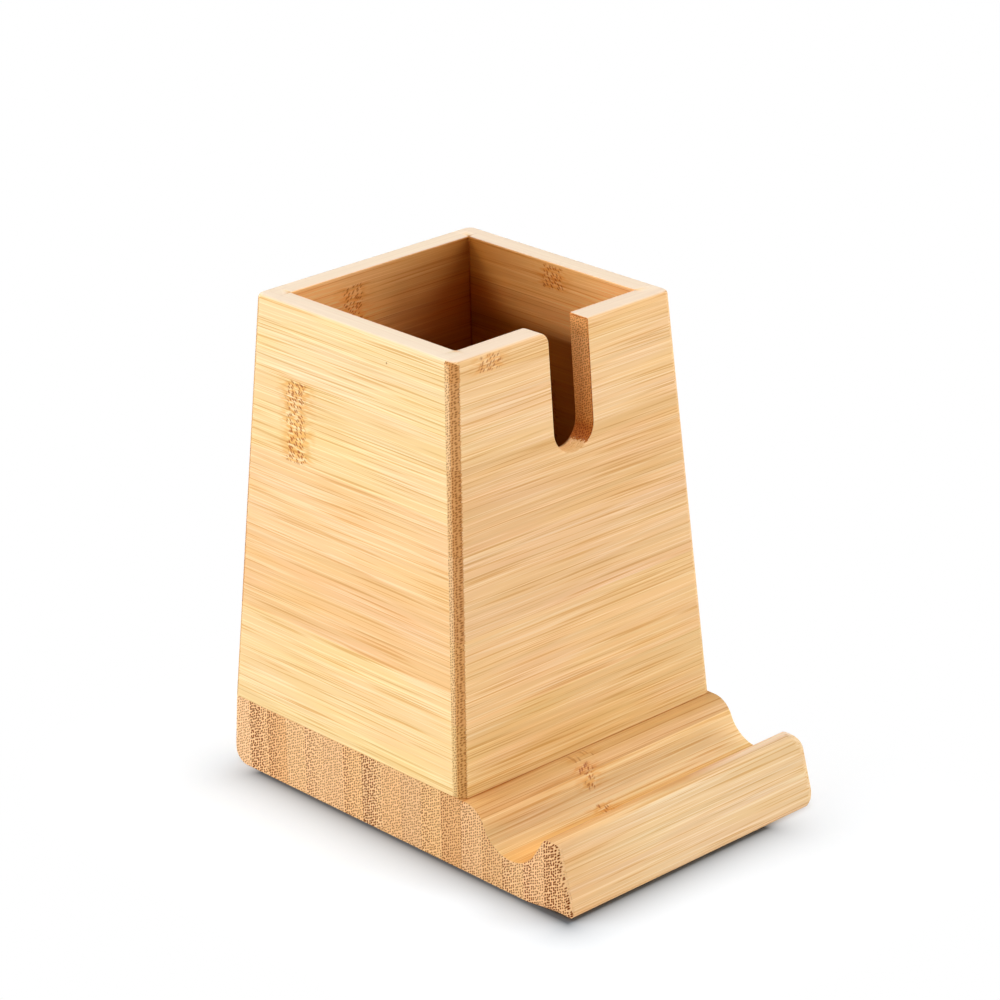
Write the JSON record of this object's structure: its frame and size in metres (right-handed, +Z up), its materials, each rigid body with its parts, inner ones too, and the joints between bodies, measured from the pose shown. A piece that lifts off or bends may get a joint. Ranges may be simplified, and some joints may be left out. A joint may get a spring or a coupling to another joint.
{
  "type": "pen holder",
  "caption": "Tapered square pen cup in bamboo with a cable slot in its front wall, on a base that runs out in front as a grooved phone rest.",
  "frame": {"origin": "middle of the base's outline, on the surface that it stands on", "axes": "+Z up; the front, with the phone rest and the cable slot, towards -Y; +X to the right as seen from the front"},
  "size_m": [0.082, 0.117, 0.121],
  "materials": {
    "bamboo_wall": "flat-pressed bamboo board, sanded, thin satin lacquer",
    "bamboo_base": "side-pressed bamboo board, sanded, thin satin lacquer"
  },
  "bodies": {
    "root": {"back_wall": "bamboo_wall", "front_wall": "bamboo_wall", "left_wall": "bamboo_wall", "right_wall": "bamboo_wall", "base_stave_01": "bamboo_base", "base_stave_02": "bamboo_base", "base_stave_03": "bamboo_base", "base_stave_04": "bamboo_base", "base_stave_05": "bamboo_base", "base_stave_06": "bamboo_base", "base_stave_07": "bamboo_base", "base_stave_08": "bamboo_base", "base_stave_09": "bamboo_base", "base_stave_10": "bamboo_base", "base_stave_11": "bamboo_base", "base_stave_12": "bamboo_base", "base_stave_13": "bamboo_base", "base_stave_14": "bamboo_base", "base_stave_15": "bamboo_base", "base_stave_16": "bamboo_base", "base_stave_17": "bamboo_base"}
  },
  "joints": []
}
